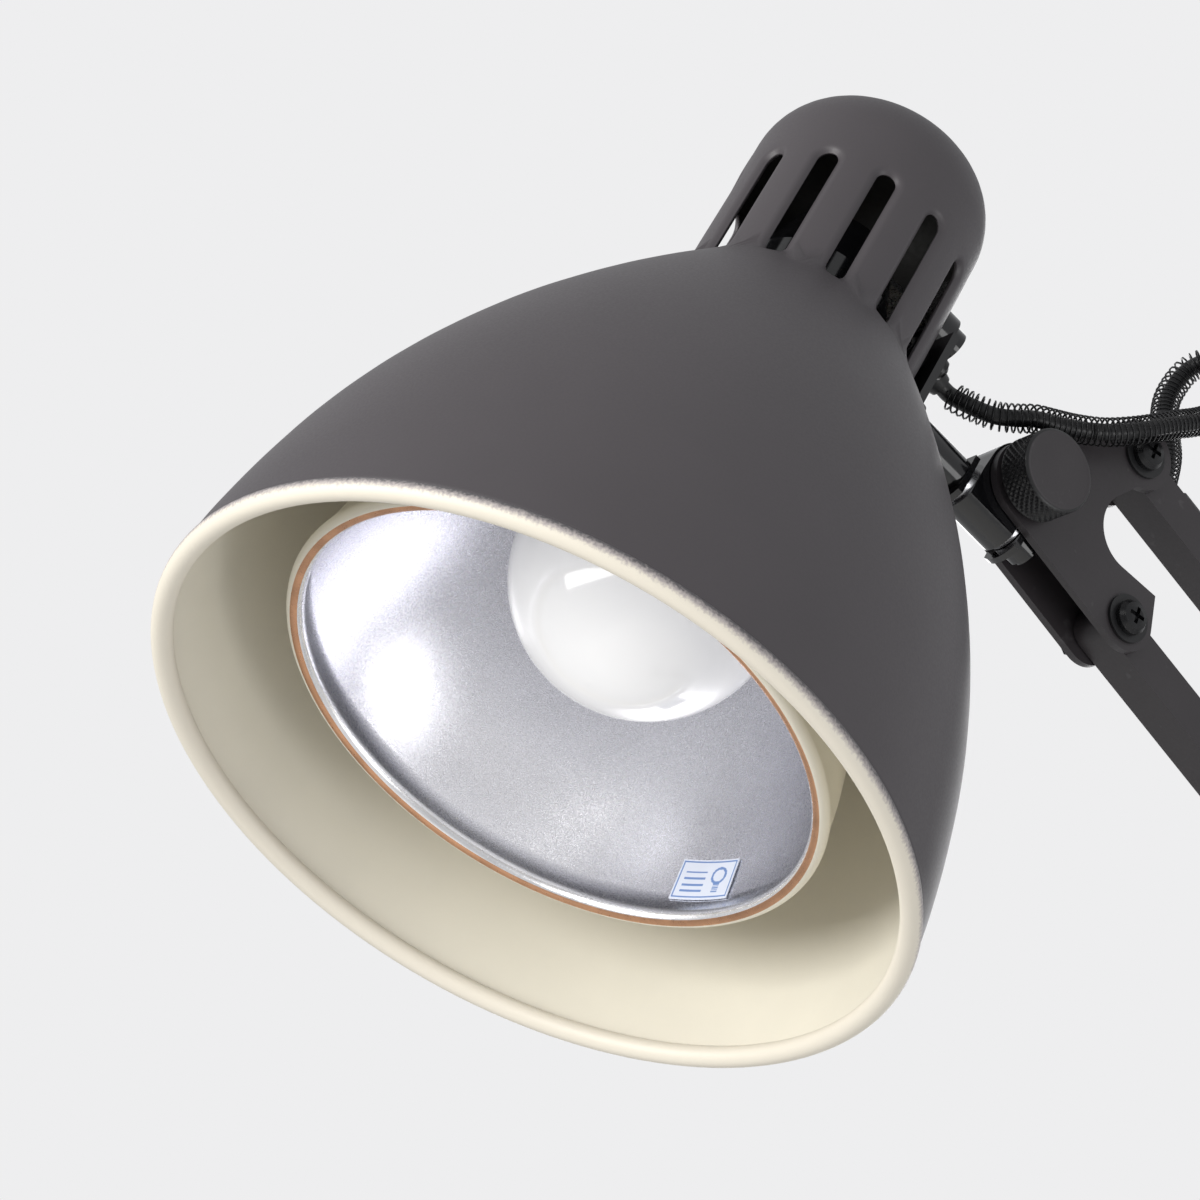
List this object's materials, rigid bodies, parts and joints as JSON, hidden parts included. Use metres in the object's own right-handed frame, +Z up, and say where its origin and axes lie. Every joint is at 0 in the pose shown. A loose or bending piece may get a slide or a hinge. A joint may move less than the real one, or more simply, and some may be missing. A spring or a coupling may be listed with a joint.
{
  "type": "swing arm desk lamp",
  "caption": "Clamp-on desk lamp with a bell metal shade on a tilting head, two spring-balanced parallelogram arms of square tube, and a corded plug.",
  "frame": {"origin": "middle of the clamp's upper jaw, on the desk surface", "axes": "+Z up, arms move in the XZ plane at rest, head reaches to -X, desk lies to -X"},
  "size_m": [0.5746, 0.175, 0.8938],
  "materials": {
    "paint_grey": "matte",
    "shade_grey": "matte",
    "gloss_black": "gloss",
    "black_steel": "satin",
    "black_plastic": "matte",
    "cord_black": "satin",
    "rubber": "matte",
    "steel": "satin",
    "nickel": "gloss",
    "brass": "satin",
    "reflector_alu": "satin",
    "opal_glass": "gloss",
    "label_white": "satin"
  },
  "bodies": {
    "clamp": {"clamp_frame": "paint_grey", "jaw_pad": "rubber", "spindle_bush": "black_plastic", "cord_clip": "black_plastic", "mains_cord": "cord_black", "cord_coil": "cord_black", "cord_tie": "black_plastic", "plug_body": "black_plastic", "plug_blades": "nickel"},
    "jaw": {"pressure_pad": "paint_grey"},
    "screw": {"clamp_screw": "steel", "clamp_handle": "steel"},
    "base": {"base_bracket": "paint_grey", "spindle": "steel", "base_bolts": "black_steel", "base_nuts": "black_steel", "base_bushes": "black_plastic", "base_cord_loop": "black_steel"},
    "lower_arm": {"lower_tube": "paint_grey", "lower_springs": "black_steel", "lower_spring_pin": "steel", "lower_cord_cover": "black_plastic", "elbow_cord_loop": "black_steel"},
    "lower_link": {"lower_link": "paint_grey"},
    "elbow": {"elbow_bracket": "paint_grey", "elbow_bolts": "black_steel", "elbow_nuts": "black_steel", "elbow_bushes": "black_plastic"},
    "upper_arm": {"upper_tube": "paint_grey", "upper_cord_cover": "black_plastic"},
    "upper_link": {"upper_link": "paint_grey", "upper_springs": "black_steel", "upper_spring_pin": "steel"},
    "head": {"head_bracket": "paint_grey", "head_bolts": "black_steel", "head_nuts": "black_steel", "head_bushes": "black_plastic", "knob_stud": "steel", "head_cord_loop": "black_steel"},
    "knob": {"tension_knob": "black_plastic"},
    "tilt": {"tilt_block": "gloss_black", "stem_washers": "steel", "stem_collars": "gloss_black"},
    "shade": {"stem": "gloss_black", "stem_nut": "gloss_black", "shade": "shade_grey", "reflector": "reflector_alu", "warning_label": "label_white", "neck_plate": "gloss_black", "neck_screws": "black_steel", "cord_gland": "black_plastic", "switch_body": "gloss_black", "socket_body": "gloss_black", "socket_shell": "brass", "socket_strap": "steel", "bulb_globe": "opal_glass", "bulb_cap": "nickel"},
    "button": {"switch_button": "gloss_black"}
  },
  "joints": [
    {"name": "clamp_travel", "type": "slide", "parent": "clamp", "child": "jaw", "axis": [0, 0, 1], "range_m": [-0.02, 0.02]},
    {"name": "clamp_turn", "type": "hinge", "parent": "jaw", "child": "screw", "pos_m": [-0.002, 0, -0.1], "axis": [0, 0, 1], "range_deg": [-4801, 4801]},
    {"name": "base_swivel", "type": "hinge", "parent": "clamp", "child": "base", "pos_m": [0.014, 0, 0.03], "axis": [0, 0, 1], "range_deg": [-90, 90]},
    {"name": "lower_arm_pivot", "type": "hinge", "parent": "base", "child": "lower_arm", "pos_m": [0.014, 0, 0.07], "axis": [0, 1, 0], "range_deg": [-42, 24], "deforming": ["lower_springs", "base_cord_loop", "elbow_cord_loop"]},
    {"name": "lower_link_pivot", "type": "hinge", "parent": "base", "child": "lower_link", "pos_m": [-0.02, 0, 0.082], "axis": [0, 1, 0], "range_deg": [-42, 24]},
    {"name": "elbow_level", "type": "hinge", "parent": "lower_arm", "child": "elbow", "pos_m": [0.18301, 0, 0.38786], "axis": [0, 1, 0], "range_deg": [-24, 42]},
    {"name": "upper_arm_pivot", "type": "hinge", "parent": "elbow", "child": "upper_arm", "pos_m": [0.19621, 0, 0.46316], "axis": [0, 1, 0], "range_deg": [-33, 28], "deforming": ["upper_springs"]},
    {"name": "upper_link_pivot", "type": "hinge", "parent": "elbow", "child": "upper_link", "pos_m": [0.18901, 0, 0.42186], "axis": [0, 1, 0], "range_deg": [-33, 28]},
    {"name": "head_level", "type": "hinge", "parent": "upper_arm", "child": "head", "pos_m": [-0.09911, 0, 0.7023], "axis": [0, 1, 0], "range_deg": [-28, 33]},
    {"name": "head_tilt", "type": "hinge", "parent": "head", "child": "tilt", "pos_m": [-0.13521, 0, 0.6877], "axis": [0, 1, 0], "range_deg": [-35, 45], "deforming": ["head_cord_loop"]},
    {"name": "knob_turn", "type": "hinge", "parent": "head", "child": "knob", "pos_m": [-0.13521, -0.012, 0.6877], "axis": [0, 1, 0], "range_deg": [-180, 180]},
    {"name": "head_swivel", "type": "hinge", "parent": "tilt", "child": "shade", "pos_m": [-0.14244, 0, 0.6824], "axis": [0.8526, 0, -0.5225], "range_deg": [-90, 90]},
    {"name": "switch_press", "type": "slide", "parent": "shade", "child": "button", "axis": [-0.8526, 0, 0.5225], "range_m": [0, 0.0016], "stiffness_N_per_m": 800, "springref_m": -0.001}
  ],
  "couplings": [
    {"joint": "clamp_turn", "follows": "clamp_travel", "rad_per_m": 4188.8},
    {"joint": "lower_link_pivot", "follows": "lower_arm_pivot", "ratio": 1},
    {"joint": "elbow_level", "follows": "lower_arm_pivot", "ratio": -1},
    {"joint": "upper_link_pivot", "follows": "upper_arm_pivot", "ratio": 1},
    {"joint": "head_level", "follows": "upper_arm_pivot", "ratio": -1}
  ]
}
